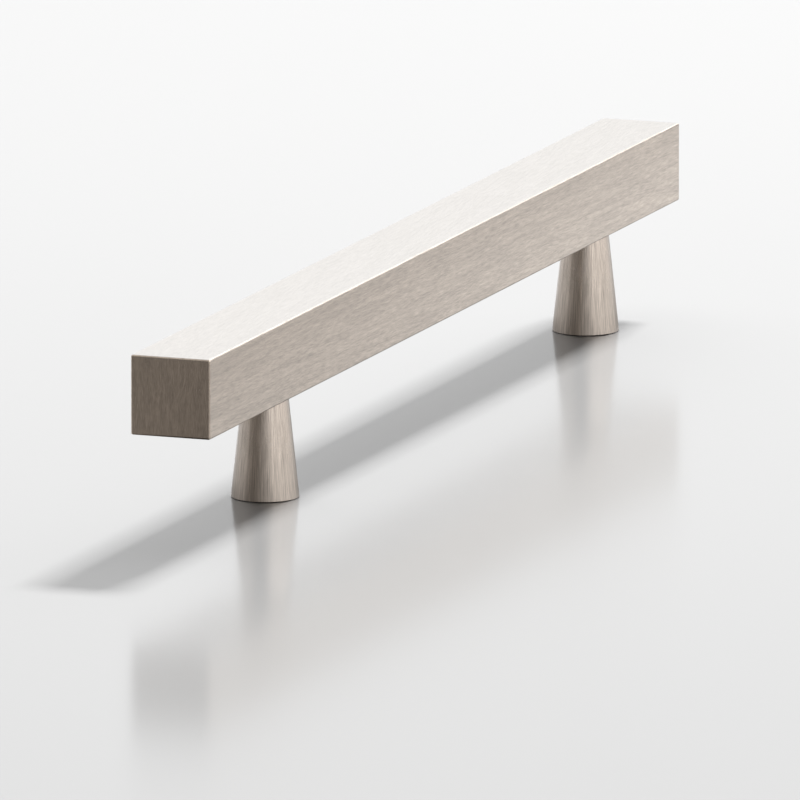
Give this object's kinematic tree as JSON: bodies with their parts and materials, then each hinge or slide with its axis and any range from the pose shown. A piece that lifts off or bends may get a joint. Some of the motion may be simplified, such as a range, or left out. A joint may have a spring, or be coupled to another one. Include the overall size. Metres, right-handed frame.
{
  "type": "t bar cabinet pull",
  "caption": "Straight, nearly square metal bar on round tapered posts that are tapped at their feet, for pulling open a drawer or cabinet door.",
  "frame": {"origin": "midway between the two screw holes, on the plane of the drawer front that both feet stand on", "axes": "+X along the bar towards its shorter overhang, +Y across the bar, +Z out from the drawer front to the bar"},
  "size_m": [0.2604, 0.0158, 0.0359],
  "materials": {
    "bar_nickel": "satin nickel plate, brushed along the bar in short fine strokes",
    "post_nickel": "satin nickel plate, brushed from foot to top",
    "stud_steel": "plain zinc plated screw steel"
  },
  "bodies": {
    "root": {"bar": "bar_nickel", "near_post": "post_nickel", "far_post": "post_nickel", "near_stud": "stud_steel", "far_stud": "stud_steel"}
  },
  "joints": []
}
